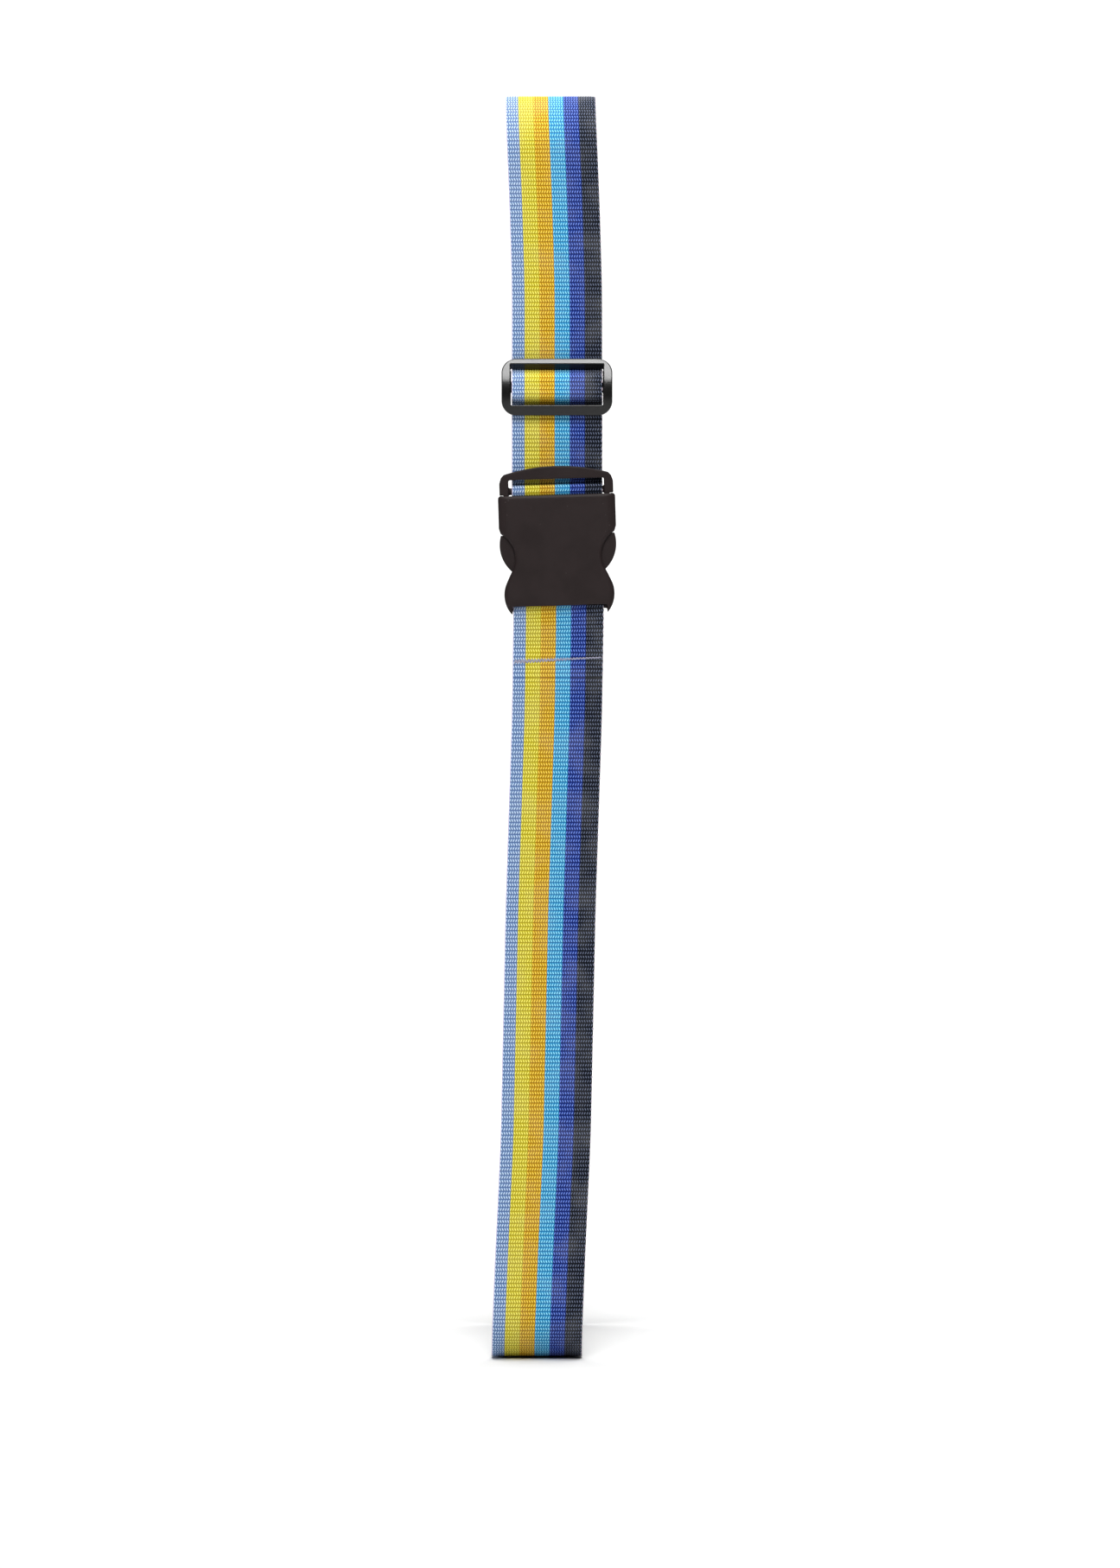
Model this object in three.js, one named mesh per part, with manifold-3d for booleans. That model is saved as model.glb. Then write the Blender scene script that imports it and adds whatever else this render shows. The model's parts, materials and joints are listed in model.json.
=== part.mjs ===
// Luggage strap: a striped webbing loop worn round a suitcase, closed by a
// side-release buckle and shortened by a tri-glide slider.
// Millimetres, +Z up. The front of the loop faces -Y. The origin lies in the
// middle of the underside of the top run, where the strap rests on the case.
// "Depth" is the distance out from the case's front face, towards -Y.
import * as THREE from "three";
import { mergeVertices } from "three/addons/utils/BufferGeometryUtils.js";
import Module from "manifold-3d";

const wasm = await Module();
wasm.setup();

// ---- webbing and the loop that it makes ----
const strapWidth = 50;
const webThickness = 1.4;
const layerGap = 0.3; // between two layers of webbing, and webbing and plastic
const cutGap = 0.3; // between two runs of the same ribbon
const loopHeight = 697; // inside the loop, top run to bottom run
const loopDepth = 300; // inside the loop, front to back
const cornerRadius = 28; // inside radius where the loop turns over an edge
const cornerSteps = 8;
const arcSteps = 24; // along each curved edge of the plastic pieces

// ---- places on the front face, down from the top run ----
const sliderDrop = 159.6;
const buckleDrop = 244;
const buckleShift = 0.5; // sideways, to +X
const buckleTurn = THREE.MathUtils.degToRad(1.75); // +X side up
const turnEase = 20; // length over which the rows of webbing straighten again

// How far the worn strap wanders sideways: [down from the top, shift to +X].
const driftAboveBuckle = [[0, -3.8], [28, -2.6], [60, -1.3], [105, 0], [210, 0]];
const driftBelowBuckle = [[340, 0], [450, -3.6], [577, -6.3], [640, -9.3], [690, -11.3]];

// ---- bars that webbing turns round, in the buckle ----
const barThickness = 3.4;
const barRounding = 1.2;
const barLift = 0.4; // air between the webbing behind a bar and the case

// ---- side-release buckle, heights measured from its middle ----
const archTop = 41.2;
const archShoulder = 37.1;
const archShoulderInset = 2.6;
const archCheekDrop = 1.8; // the rounded corner between the arch and the plug's side
const archCheekInset = 1;
const windowTop = 34.1;
const innerBarTop = 29.6;
const innerBarBottom = 25.8;
const plugSlotBottom = 21.8;
const plugBaseBottom = 16;
const plugRail = 5.1; // plastic beside the plug's window
const plugPlay = 1.4; // webbing edge to the plug's window, each side
const plugRecess = 0.7; // plug's face below the inside of the socket's front
const tongueHalf = 8;
const tongueEnd = -15;

const socketTop = 25.4;
const socketLip = 0.95; // the socket stands out past the plug, each side
const socketWall = 3;
const frontPlate = 2.4;
const frontRoom = 1.8; // between the looped webbing and the front plate
const backPlate = 2;
const backPlateTop = 20; // lower than the front, so the webbing can return
const caseGap = 0.3; // socket's back plate to the case
const socketRounding = 1.6;
const socketTopCorner = 1; // chamfer at the socket's top corners
const notchTop = 4.4;
const notchFloor = -8.5;
const notchDepth = 8.4; // how far the notch reaches in from the socket's side
const notchLip = 3; // straight side above the notch
const waist = -16.6;
const waistInset = 6.4;
const cavityFloor = -18.2;
const chamberTop = -22.2;
const frontPlateBottom = -35.8;
const anchorTop = -34.2;
const anchorBottom = -38.2;
const earTip = -40.4;
const earTipWidth = 0.2;
const earPlay = 1.2; // webbing edge to an ear, if the webbing ran down the middle
const earLean = 0.9; // the webbing leans to the -X ear by this much
const earThickness = 4.25;
const earShoulder = [1.6, 6]; // where the ear swells out: inset from its widest, drop below the waist
const earWidest = 11.6; // drop below the waist

const prongGap = 0.3; // prong root to plug
const ledgeGap = 0.9; // prong's barb to the socket's ledge, so it can swing past
const prongRootHalf = 2.35;
const prongBulge = 0.2; // the lobe inside the socket's side line
const prongWidest = -3;
const prongTip = -17.4;
const barbInset = 0.8;

// ---- tri-glide slider, heights measured from its middle ----
const sliderHeight = 31.4;
const sliderPlay = 0.65; // webbing edge to the slider's rail, each side
const sliderRail = 5;
const sliderBar = 5.5;
const sliderCorner = 8;
const sliderEdge = 4.2; // thickness at the top and bottom edges
const sliderFrontArch = 3.5;
const sliderBackArch = 2.2;
const sliderTopBevel = 2.75; // the top bar's slanted inner face, seen from the front
const centreBarHalf = 3;
const centreBarThickness = 3.2;
const centreBarLift = 1.6;
const centreBarRounding = 1;
const sliderClearance = 0.4; // slider's bars to the outermost webbing behind them

// ---- sewn ends ----
const sliderTail = 26; // from the slider's middle down to the sewn end's cut
const sliderSeam = 22;
const socketSeam = 66; // from the buckle's middle down to the seam
const socketTail = 74;
const threadWidth = 0.8;
const threadThickness = 0.45;
const seamTilt = 0.05; // rise of the visible seam per millimetre to +X
const zigzagHeight = 2.2;
const zigzagStitches = 18;
const seamInset = 1.6; // from the webbing's edge to the first stitch
const layerDrop = 16; // length over which webbing comes down past a cut end

// ---- sizes worked out from the ones above ----
const halfWeb = webThickness / 2;
const pitch = webThickness + layerGap; // from one layer to the next
const layer = (n) => halfWeb + n * pitch; // depth of the middle of layer n
const halfDepth = loopDepth / 2;
const sliderZ = -sliderDrop;
const buckleZ = -buckleDrop;

const barBack = 2 * pitch + barLift;
const barFront = barBack + barThickness;
const plateInside = barFront + pitch + frontRoom;
const socketFront = plateInside + frontPlate;
const plugBack = 2 * pitch;
const plugFront = plateInside - plugRecess;
const plugWindow = strapWidth / 2 + plugPlay; // half widths
const plugHalf = plugWindow + plugRail;
const socketHalf = plugHalf + socketLip;
const cavityHalf = socketHalf - socketWall;
const earInside = strapWidth / 2 + earPlay;
const earHalf = earInside + earThickness;
const anchorDrift = buckleShift - earTip * Math.sin(buckleTurn) - earLean;
const drift = [
  ...driftAboveBuckle,
  [buckleDrop - anchorTop, anchorDrift], [buckleDrop - earTip, anchorDrift],
  ...driftBelowBuckle,
];
const prongRootX = plugWindow - prongRootHalf;

const sliderWindow = strapWidth / 2 + sliderPlay;
const sliderHalf = sliderWindow + sliderRail;
const halfSlider = sliderHeight / 2;
const windowEdge = halfSlider - sliderBar;
// The top bar lies on one layer of webbing and the bottom bar on three, which tilts the slider.
const topBarDepth = pitch - layerGap + sliderClearance;
const bottomBarDepth = 3 * pitch - layerGap + sliderClearance;
const sliderDepth = (topBarDepth + bottomBarDepth) / 2;
const sliderTilt = Math.asin((bottomBarDepth - topBarDepth) / sliderHeight);
// Height above the slider's own plane of something at a depth from the case.
const sliderLift = (depth, z) =>
  (depth - sliderDepth + z * Math.sin(sliderTilt)) / Math.cos(sliderTilt);
// World height of something at a depth from the case and a height on the slider.
const onSlider = (depth, z) =>
  sliderZ + z * Math.cos(sliderTilt) + sliderLift(depth, z) * Math.sin(sliderTilt);

// ---- materials ----
const plastic = (color) =>
  new THREE.MeshStandardMaterial({ color, roughness: 0.55, metalness: 0 });
const cloth = (color) =>
  new THREE.MeshStandardMaterial({ color, roughness: 0.85, metalness: 0 });
const blackPlastic = 0x262425;
const webColor = 0x4a9fd0;
const threadColor = 0x8c8fa8;

// ---- geometry helpers ----
const strap = new THREE.Group();

function add(parent, name, geometry, material) {
  const mesh = new THREE.Mesh(geometry, material);
  mesh.name = name;
  parent.add(mesh);
  return mesh;
}

// Points of the circle through three points, ends included.
function arcThrough(a, b, c, steps) {
  const d = 2 * (a[0] * (b[1] - c[1]) + b[0] * (c[1] - a[1]) + c[0] * (a[1] - b[1]));
  const [aa, bb, cc] = [a, b, c].map(([x, y]) => x * x + y * y);
  const x = (aa * (b[1] - c[1]) + bb * (c[1] - a[1]) + cc * (a[1] - b[1])) / d;
  const y = (aa * (c[0] - b[0]) + bb * (a[0] - c[0]) + cc * (b[0] - a[0])) / d;
  const radius = Math.hypot(a[0] - x, a[1] - y);
  const angle = (p) => Math.atan2(p[1] - y, p[0] - x);
  const turn = (from, to) => THREE.MathUtils.euclideanModulo(to - from, 2 * Math.PI);
  const start = angle(a);
  const through = turn(start, angle(b));
  const whole = turn(start, angle(c));
  const sweep = through < whole ? whole : whole - 2 * Math.PI;
  return Array.from({ length: steps + 1 }, (_, i) => {
    const t = start + (sweep * i) / steps;
    return [x + radius * Math.cos(t), y + radius * Math.sin(t)];
  });
}

// A path of straight stretches with rounded corners: each point is [a, b, corner radius].
function roundedPath(corners, steps = 4) {
  const path = [];
  corners.forEach(([a, b, radius], i) => {
    if (!radius) return path.push([a, b]);
    const here = new THREE.Vector2(a, b);
    const before = new THREE.Vector2(...corners[i - 1]).sub(here).normalize();
    const after = new THREE.Vector2(...corners[i + 1]).sub(here).normalize();
    const half = Math.acos(before.dot(after)) / 2;
    const back = radius / Math.tan(half);
    const middle = before.clone().add(after).normalize();
    const centre = here.clone().addScaledVector(middle, radius / Math.sin(half));
    const near = centre.clone().addScaledVector(middle, -radius);
    const [from, to] = [before, after].map((v) => here.clone().addScaledVector(v, back));
    path.push(...arcThrough(from.toArray(), near.toArray(), to.toArray(), steps));
  });
  return path;
}

// The closed outline of a band of even thickness along a path.
function band(path, thickness) {
  const points = path.map((p) => new THREE.Vector2(...p));
  const side = (sign) =>
    points.map((p, i) => {
      const before = points[Math.max(i - 1, 0)];
      const after = points[Math.min(i + 1, points.length - 1)];
      const ahead = (i < points.length - 1 ? after.clone().sub(p) : p.clone().sub(before)).normalize();
      const behind = (i > 0 ? p.clone().sub(before) : after.clone().sub(p)).normalize();
      const along = ahead.clone().add(behind).normalize();
      const normal = new THREE.Vector2(-along.y, along.x);
      const stretch = 1 / along.dot(ahead);
      return p.clone().addScaledVector(normal, (sign * stretch * thickness) / 2);
    });
  return new THREE.Shape([...side(1), ...side(-1).reverse()]);
}

const shapeOf = (points) => new THREE.Shape(points.map((p) => new THREE.Vector2(...p)));
const mirrored = (half) => [...half, ...half.map(([x, z]) => [-x, z]).reverse()];

// A plan outline, (x, z), made solid from one depth to another.
function plate(shape, fromDepth, toDepth, rounding = 0) {
  const geometry = new THREE.ExtrudeGeometry(shape, {
    depth: toDepth - fromDepth - 2 * rounding,
    bevelEnabled: rounding > 0,
    bevelThickness: rounding,
    bevelSize: rounding,
    bevelOffset: -rounding,
    bevelSegments: 3,
    curveSegments: arcSteps / 2,
  });
  return geometry.translate(0, 0, fromDepth + rounding).rotateX(Math.PI / 2);
}

// A side outline, (depth, z), made solid across the strap.
function crosswise(outline, halfWidth) {
  const points = outline.map(([depth, z]) => [-depth, z]);
  const geometry = new THREE.ExtrudeGeometry(shapeOf(points), {
    depth: 2 * halfWidth,
    bevelEnabled: false,
  });
  return geometry.translate(0, 0, -halfWidth).rotateY(Math.PI / 2).rotateX(Math.PI / 2);
}

const box = (halfWidth, bottom, top, fromDepth, toDepth) =>
  crosswise([[fromDepth, bottom], [toDepth, bottom], [toDepth, top], [fromDepth, top]], halfWidth);

// A rounded bar across the strap.
function bar(halfWidth, bottom, top, back, front, rounding) {
  const [b, f, lo, hi] = [back + rounding, front - rounding, bottom + rounding, top - rounding];
  const corner = (depth, z, start) =>
    Array.from({ length: 5 }, (_, i) => {
      const t = start + (i * Math.PI) / 8;
      return [depth + rounding * Math.cos(t), z + rounding * Math.sin(t)];
    });
  const outline = [
    ...corner(f, hi, 0), ...corner(b, hi, Math.PI / 2),
    ...corner(b, lo, Math.PI), ...corner(f, lo, 1.5 * Math.PI),
  ];
  return crosswise(outline, halfWidth);
}

function solid(geometry) {
  const bare = geometry.clone();
  bare.deleteAttribute("normal");
  bare.deleteAttribute("uv");
  const merged = mergeVertices(bare.index ? bare.toNonIndexed() : bare, 1e-4);
  const mesh = new wasm.Mesh({
    numProp: 3,
    vertProperties: merged.attributes.position.array,
    triVerts: new Uint32Array(merged.index.array),
  });
  return new wasm.Manifold(mesh);
}

function geometryOf(manifold) {
  const mesh = manifold.getMesh();
  const geometry = new THREE.BufferGeometry();
  geometry.setAttribute("position", new THREE.BufferAttribute(mesh.vertProperties, 3));
  geometry.setIndex(new THREE.BufferAttribute(mesh.triVerts, 1));
  geometry.computeVertexNormals();
  return geometry;
}

// ---- webbing: every run of the ribbon ----
function driftAt(z) {
  const down = -z;
  const next = drift.findIndex(([d]) => d > down);
  if (next === 0) return drift[0][1];
  if (next < 0) return drift.at(-1)[1];
  const [[d0, x0], [d1, x1]] = [drift[next - 1], drift[next]];
  return x0 + ((x1 - x0) * (down - d0)) / (d1 - d0);
}

// Rows of webbing follow the turned buckle, and straighten above and below it.
function rowSlope(z) {
  const away = Math.max(z - buckleZ - archTop, buckleZ + earTip - z, 0);
  return Math.tan(buckleTurn) * Math.max(0, 1 - away / turnEase);
}

// Moves a straight piece of the loop, built round x = 0, to where the worn strap wanders.
function wander(geometry) {
  const position = geometry.getAttribute("position");
  for (let i = 0; i < position.count; i++) {
    const [x, y, z] = [position.getX(i), position.getY(i), position.getZ(i)];
    const slope = y < 0 ? rowSlope(z) : 0;
    position.setXYZ(i, x + driftAt(z), y, z + (x - buckleShift) * slope);
  }
  geometry.computeVertexNormals();
  return geometry;
}

// A run of webbing along a path of [depth, z] points.
function webbing(name, path) {
  const outline = band(path, webThickness).getPoints().map((p) => [p.x + halfDepth, p.y]);
  add(strap, name, wander(crosswise(outline, strapWidth / 2)), cloth(webColor));
}

const topZ = layer(0);
const bottomZ = -loopHeight - halfWeb;
const backDepth = -loopDepth - halfWeb;
const bend = cornerRadius + halfWeb;

// A straight run from top to bottom, with a point wherever the strap's drift bends.
function straight(depth, top, bottom) {
  const bends = drift.map(([down]) => -down).filter((z) => z < top - cutGap && z > bottom + cutGap);
  return [top, ...bends, bottom].map((z) => [depth, z]);
}

// Quarter turn of the loop, less half a cut gap at each end.
function cornerPath(centreDepth, centreZ, start) {
  const trim = cutGap / 2 / bend;
  return Array.from({ length: cornerSteps + 1 }, (_, i) => {
    const t = start + trim + ((Math.PI / 2 - 2 * trim) * i) / cornerSteps;
    return [centreDepth + bend * Math.cos(t), centreZ + bend * Math.sin(t)];
  });
}

const nearDepth = -cornerRadius;
const farDepth = -loopDepth + cornerRadius;
const upperZ = -cornerRadius;
const lowerZ = -loopHeight + cornerRadius;
webbing("webbing_top_run", [[nearDepth - cutGap / 2, topZ], [farDepth + cutGap / 2, topZ]]);
webbing("webbing_bottom_run", [[nearDepth - cutGap / 2, bottomZ], [farDepth + cutGap / 2, bottomZ]]);
webbing("webbing_back_run", straight(backDepth, upperZ - cutGap / 2, lowerZ + cutGap / 2));
webbing("webbing_corner_top_front", cornerPath(nearDepth, upperZ, 0));
webbing("webbing_corner_top_back", cornerPath(farDepth, upperZ, Math.PI / 2));
webbing("webbing_corner_bottom_back", cornerPath(farDepth, lowerZ, Math.PI));
webbing("webbing_corner_bottom_front", cornerPath(nearDepth, lowerZ, 1.5 * Math.PI));

// Front run above the slider: it lies on the case down to behind the slider's top bar.
const upperEnd = sliderZ + windowEdge - 1;
webbing("webbing_front_upper", straight(layer(0), upperZ - cutGap / 2, upperEnd));

// Doubled run between the slider and the plug.
const passBottom = -halfSlider - 1.3; // the running layer's lower end, on the slider
const adjusterTop = onSlider(layer(2), passBottom) - 2 * cutGap;
const adjusterBottom = buckleZ + archTop - 3.2;
const seamCrest = layer(2) + threadThickness + layerGap;
const sliderTailEnd = onSlider(layer(0), -sliderTail);
webbing("webbing_adjuster_front", roundedPath([
  [layer(2) + layerGap / 2, adjusterTop],
  [seamCrest, sliderZ - sliderSeam + 2],
  [seamCrest, sliderTailEnd, 4],
  [layer(1), sliderTailEnd - 9, 6],
  [layer(1), adjusterBottom],
]));
webbing("webbing_adjuster_back", straight(layer(0), sliderTailEnd - cutGap, adjusterBottom));

// Round the plug's inner bar: down behind the arch, forward over the bar, back up underneath.
const wrapIn = barBack - layerGap - halfWeb;
const wrapOut = barFront + layerGap + halfWeb;
const wrapBend = barRounding + layerGap + halfWeb;
const turnTop = adjusterBottom - cutGap;
webbing("webbing_plug_turn", roundedPath([
  [layer(1), turnTop],
  [layer(1), buckleZ + windowTop - 1.2, 1.5],
  [wrapOut, buckleZ + innerBarTop + 0.6, wrapBend],
  [wrapOut, buckleZ + innerBarBottom - layerGap - halfWeb, wrapBend],
  [wrapIn, buckleZ + innerBarBottom - layerGap - halfWeb, wrapBend],
  [wrapIn, buckleZ + innerBarTop - 1, 2],
  [layer(0), buckleZ + windowTop - 2, 2],
  [layer(0), turnTop],
]));

// Round the socket's anchor bar: the tail lies behind and the long run in front.
const loopEnd = buckleZ - socketTail - 2;
const wrapTop = buckleZ + anchorTop + layerGap + halfWeb;
webbing("webbing_socket_loop", roundedPath([
  [layer(0), buckleZ - socketTail],
  [layer(0), buckleZ - socketSeam + 12, 12],
  [wrapIn, buckleZ + anchorBottom - 1, 6],
  [wrapIn, wrapTop, wrapBend],
  [wrapOut, wrapTop, wrapBend],
  [wrapOut, buckleZ + anchorBottom, 6],
  [layer(1), buckleZ - socketSeam + 7, 14],
  [layer(1), loopEnd],
]));
const lowerStart = loopEnd - cutGap;
webbing("webbing_front_lower", [
  [layer(1), lowerStart],
  ...straight(layer(0), lowerStart - layerDrop, lowerZ + cutGap / 2),
]);

// ---- seams: each one zigzag thread across the webbing ----
function seamThread(name, fromDepth, z, tilt) {
  const reach = strapWidth / 2 - seamInset;
  const path = Array.from({ length: zigzagStitches + 1 }, (_, i) => {
    const x = -reach + (2 * reach * i) / zigzagStitches;
    return [x, z + x * tilt + ((i % 2) - 0.5) * zigzagHeight];
  });
  const thread = plate(band(path, threadWidth), fromDepth, fromDepth + threadThickness);
  const mesh = add(strap, name, thread, cloth(threadColor));
  mesh.position.set(driftAt(z), -halfDepth, 0);
}
const onLayerOne = layer(1) + halfWeb + layerGap;
seamThread("seam_thread_socket", onLayerOne, buckleZ - socketSeam, seamTilt);
seamThread("seam_thread_slider", onLayerOne, sliderZ - sliderSeam, 0);

// ---- buckle: built straight, then turned as one ----
const buckle = new THREE.Group();
buckle.position.set(buckleShift, -halfDepth, buckleZ);
buckle.rotation.y = -buckleTurn;
strap.add(buckle);

function plugShape() {
  const shoulder = plugHalf - archShoulderInset;
  const arch = arcThrough([shoulder, archShoulder], [0, archTop], [-shoulder, archShoulder], arcSteps);
  const side = [
    [tongueHalf, tongueEnd], [tongueHalf, plugBaseBottom], [cavityHalf - layerGap, plugBaseBottom],
    [cavityHalf - layerGap, socketTop + layerGap], [plugHalf, socketTop + layerGap],
    [plugHalf, windowTop - archCheekDrop], [plugHalf - archCheekInset, archShoulder - archCheekDrop],
  ];
  return shapeOf([...side, ...arch, ...side.map(([x, z]) => [-x, z]).reverse()]);
}

const plug = solid(plate(plugShape(), plugBack, plugFront))
  .subtract(solid(box(plugWindow, plugSlotBottom, windowTop, 0, socketFront)))
  .add(solid(bar(plugWindow + 1, innerBarBottom, innerBarTop, barBack, barFront, barRounding)));
add(buckle, "buckle_plug", geometryOf(plug), plastic(blackPlastic));

// Half outline of the socket, from its top corner down to the tip of the ear.
function socketShape() {
  const corner = socketHalf - socketTopCorner;
  const notch = arcThrough(
    [corner, notchTop],
    [socketHalf - notchDepth, notchFloor],
    [socketHalf - waistInset, waist],
    arcSteps,
  );
  const [shoulderInset, shoulderDrop] = earShoulder;
  const ear = arcThrough(
    [earHalf - shoulderInset, waist - shoulderDrop],
    [earHalf, waist - earWidest],
    [earInside + earTipWidth, earTip],
    arcSteps,
  );
  return shapeOf(mirrored([
    [corner, socketTop], [socketHalf, socketTop - socketTopCorner], [socketHalf, notchTop + notchLip],
    ...notch, ...ear,
  ]));
}

// Inside the socket: room for the tongue and prongs, open to the sides below the ledges.
const mouth = shapeOf(mirrored([
  [cavityHalf, socketTop + 1], [cavityHalf, notchTop],
  [socketHalf + 1, notchTop], [socketHalf + 1, cavityFloor],
]));
const socket = solid(plate(socketShape(), caseGap, socketFront, socketRounding))
  .subtract(solid(plate(mouth, caseGap + backPlate, plateInside)))
  .subtract(solid(box(cavityHalf, backPlateTop, socketTop + 1, 0, plateInside - 1)))
  .subtract(solid(box(earInside, earTip - 1, chamberTop, 0, plateInside)))
  .subtract(solid(box(earInside, earTip - 1, frontPlateBottom, plateInside - 1, socketFront + 1)))
  .add(solid(bar(earInside + 1, anchorBottom, anchorTop, barBack, barFront, barRounding)));
add(buckle, "buckle_socket", geometryOf(socket), plastic(blackPlastic));

// A sprung arm of the plug; its lobe fills the notch in the socket's side.
function prong(name, side) {
  const top = plugBaseBottom - prongGap;
  const inner = prongRootX - prongRootHalf;
  const outer = prongRootX + prongRootHalf;
  const bulge = socketHalf - prongBulge;
  const ledge = notchTop - ledgeGap;
  // The blade leans in a little and its tip is chamfered, so it finds its way into the socket.
  const lobe = arcThrough(
    [bulge - barbInset, ledge], [bulge, prongWidest], [outer - 0.6, prongTip + 0.9], arcSteps,
  );
  const outline = [
    [inner, top], [inner - 1, -4], [inner - 0.4, prongTip + 1.6], [outer - 2.4, prongTip],
    ...lobe.reverse(), [outer, ledge - prongGap], [outer, top],
  ];
  const shape = shapeOf(outline.map(([x, z]) => [side * x, z]));
  add(buckle, name, plate(shape, plugBack, plugFront), plastic(blackPlastic));
}
prong("prong_right", 1);
prong("prong_left", -1);

// ---- slider: built upright, then tilted onto the webbing ----
const slider = new THREE.Group();
slider.position.set(0, -halfDepth - sliderDepth, sliderZ);
slider.rotation.x = -sliderTilt;
strap.add(slider);

function sliderOutline() {
  const [w, h, r] = [sliderHalf, halfSlider, sliderCorner];
  const shape = new THREE.Shape();
  shape.absarc(w - r, h - r, r, 0, Math.PI / 2);
  shape.absarc(-w + r, h - r, r, Math.PI / 2, Math.PI);
  shape.absarc(-w + r, -h + r, r, Math.PI, 1.5 * Math.PI);
  shape.absarc(w - r, -h + r, r, 1.5 * Math.PI, 2 * Math.PI);
  return shape;
}

function sliderFrame() {
  const h = halfSlider;
  const reach = sliderEdge + sliderFrontArch;
  const arch = [
    ...arcThrough([sliderEdge, -h], [reach, 0], [sliderEdge, h], arcSteps),
    ...arcThrough([0, h], [sliderBackArch, 0], [0, -h], arcSteps),
  ];
  // The window's top face slants, so the top bar is narrower in front than behind.
  const slant = sliderTopBevel / (sliderEdge + 1.2 - sliderBackArch);
  const slantEnd = windowEdge + slant * (reach + 1 - sliderBackArch);
  const opening = crosswise([
    [-1, -windowEdge], [reach + 1, -windowEdge], [reach + 1, slantEnd],
    [sliderBackArch, windowEdge], [-1, windowEdge],
  ], sliderWindow);
  const centre = [centreBarLift, centreBarLift + centreBarThickness];
  return solid(crosswise(arch, sliderHalf))
    .intersect(solid(plate(sliderOutline(), -1, reach + 1)))
    .subtract(solid(opening))
    .add(solid(bar(sliderWindow + 1, -centreBarHalf, centreBarHalf, ...centre, centreBarRounding)));
}
add(slider, "slider_frame", geometryOf(sliderFrame()), plastic(blackPlastic));

// The running layer: up through the window, over the centre bar and its wrap, and down behind.
const centreBack = centreBarLift - layerGap - halfWeb;
const centreFront = centreBarLift + centreBarThickness + layerGap + halfWeb;
const centreReach = centreBarHalf + layerGap + halfWeb;
const centreBend = centreBarRounding + layerGap + halfWeb;
const crest = centreFront + pitch;
const crestReach = centreReach + 1.2;
const passEdge = windowEdge - 0.6; // where the running layer goes through a window
const pass = roundedPath([
  [sliderLift(layer(1), passEdge), passEdge],
  [crest, crestReach, centreBend + pitch],
  [crest, -crestReach, centreBend + pitch],
  [sliderLift(layer(2), -passEdge), -passEdge, 2],
  [sliderLift(layer(2), passBottom), passBottom],
]);
const passOutline = band(pass, webThickness).getPoints().map((p) => [p.x, p.y]);
add(slider, "webbing_slider_pass", crosswise(passOutline, strapWidth / 2), cloth(webColor));

// The sewn end: up behind the centre bar, round it, and down again to its cut edge.
const tailTurn = -passEdge + 1.5 * pitch;
const risingFrom = tailTurn + 1;
const end = roundedPath([
  [sliderLift(layer(0), -sliderTail), -sliderTail],
  [sliderLift(layer(0), risingFrom), risingFrom, 2],
  [centreBack, -0.5, 2],
  [centreBack, centreReach, centreBend],
  [centreFront, centreReach, centreBend],
  [centreFront, -centreReach, centreBend],
  [sliderLift(layer(1), tailTurn), tailTurn, 2],
  [sliderLift(layer(1), -sliderTail), -sliderTail],
]);
const endOutline = band(end, webThickness).getPoints().map((p) => [p.x, p.y]);
add(slider, "webbing_slider_end", crosswise(endOutline, strapWidth / 2), cloth(webColor));

export default strap;
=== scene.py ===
"""A luggage strap: striped webbing worn in a loop, a side-release buckle and a tri-glide slider.

Sizes are in millimetres until a mesh is finished, when it is brought to metres. "Depth" is
the distance out from the case's front face, towards -Y, and "drop" the distance down from
the underside of the top run.
"""

import json
import math

import bmesh
import bpy
import numpy as np
from mathutils import Matrix, Vector


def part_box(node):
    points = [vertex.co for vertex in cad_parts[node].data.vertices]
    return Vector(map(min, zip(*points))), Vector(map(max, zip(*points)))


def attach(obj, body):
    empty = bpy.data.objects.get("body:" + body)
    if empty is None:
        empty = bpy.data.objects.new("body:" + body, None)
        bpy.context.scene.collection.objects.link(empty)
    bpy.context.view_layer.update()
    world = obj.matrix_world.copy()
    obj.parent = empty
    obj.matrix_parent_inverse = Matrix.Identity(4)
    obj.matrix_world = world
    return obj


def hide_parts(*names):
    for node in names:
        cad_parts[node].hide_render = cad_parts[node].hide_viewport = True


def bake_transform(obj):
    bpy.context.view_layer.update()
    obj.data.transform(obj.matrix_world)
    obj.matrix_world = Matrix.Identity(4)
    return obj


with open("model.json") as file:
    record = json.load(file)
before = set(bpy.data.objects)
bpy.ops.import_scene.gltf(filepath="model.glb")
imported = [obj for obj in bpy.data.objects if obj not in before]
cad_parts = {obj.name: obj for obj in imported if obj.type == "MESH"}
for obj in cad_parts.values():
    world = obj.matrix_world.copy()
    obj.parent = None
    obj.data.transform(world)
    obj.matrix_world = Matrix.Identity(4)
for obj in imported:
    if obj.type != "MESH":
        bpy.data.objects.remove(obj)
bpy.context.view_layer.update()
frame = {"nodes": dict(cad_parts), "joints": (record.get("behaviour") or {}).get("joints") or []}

MM = 0.001


def box_mm(node):
    """Lowest and highest corner of a CAD node, in millimetres."""
    low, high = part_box(node)
    return low / MM, high / MM


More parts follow.
